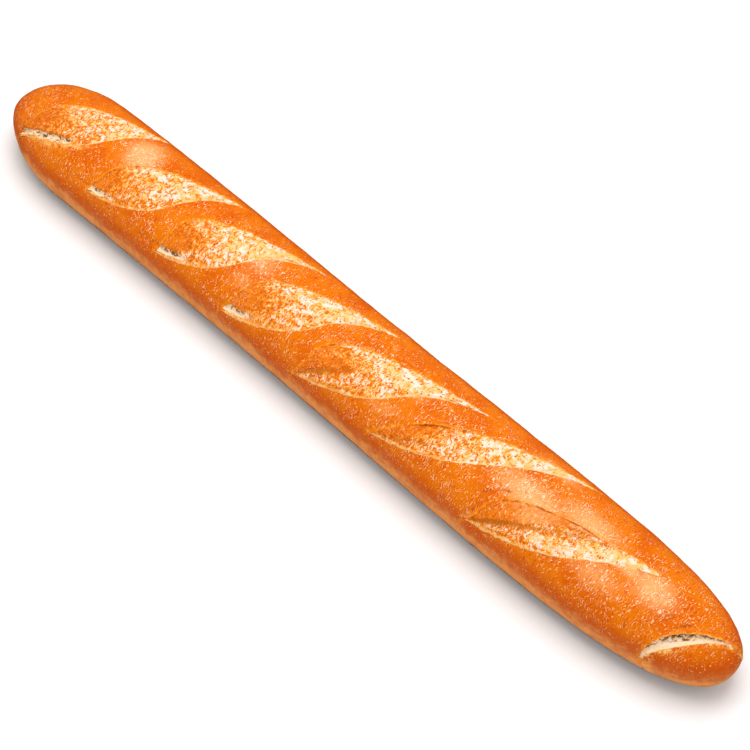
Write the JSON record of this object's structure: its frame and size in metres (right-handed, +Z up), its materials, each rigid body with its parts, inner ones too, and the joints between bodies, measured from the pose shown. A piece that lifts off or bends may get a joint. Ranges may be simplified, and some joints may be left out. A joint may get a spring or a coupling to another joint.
{
  "type": "baguette",
  "caption": "Long slender bread loaf with slanting slashes opened across its rounded top and a flat underside to rest on.",
  "frame": {"origin": "centre of the bounding box, on the flat underside that rests on the table", "axes": "+X along the loaf towards its tapered end, +Y across it towards the side where the slashes end high, +Z up"},
  "size_m": [0.5799, 0.0734, 0.051],
  "materials": {
    "crust": "golden-brown baked crust with a satin sheen, cream crumb in the slashes"
  },
  "bodies": {
    "root": {"loaf": "crust"}
  },
  "joints": []
}
